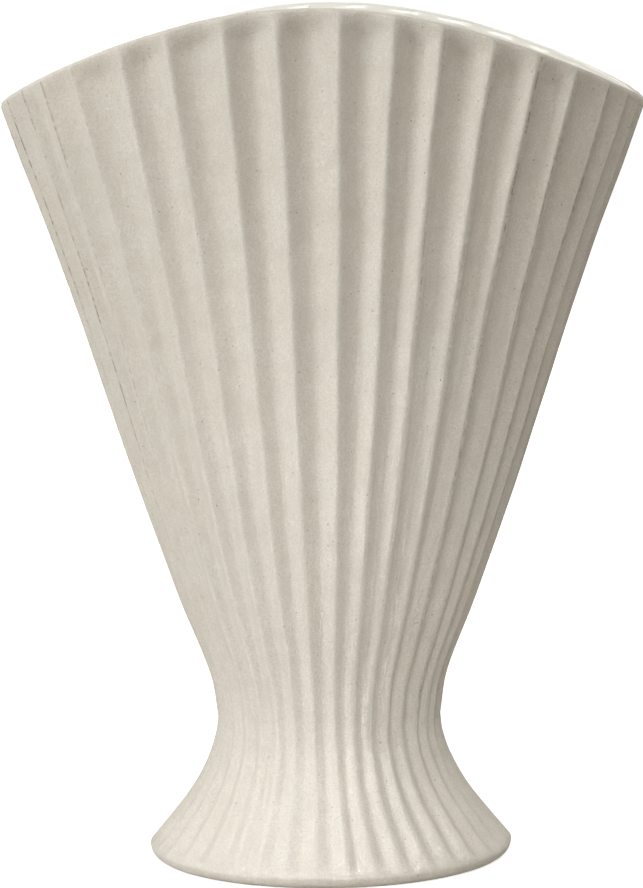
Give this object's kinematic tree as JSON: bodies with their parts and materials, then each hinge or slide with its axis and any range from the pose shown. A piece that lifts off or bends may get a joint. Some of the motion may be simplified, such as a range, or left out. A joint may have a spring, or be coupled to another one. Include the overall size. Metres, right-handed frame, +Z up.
{
  "type": "fan vase",
  "caption": "Fluted stoneware fan vase: a wide, flat, arched mouth on a narrow waist and a flared round foot, matte outside and glazed inside.",
  "frame": {"origin": "middle of the foot's underside, on the surface that the vase stands on", "axes": "+Z up, +X along the wide side of the fan, -Y the front seen in the picture"},
  "size_m": [0.23, 0.131, 0.306],
  "materials": {
    "bare_stoneware": "matte unglazed off-white stoneware with very fine dark specks",
    "cream_glaze": "glossy cream-white glaze"
  },
  "bodies": {
    "root": {"stoneware_body": "bare_stoneware", "glaze_lining": "cream_glaze"}
  },
  "joints": []
}
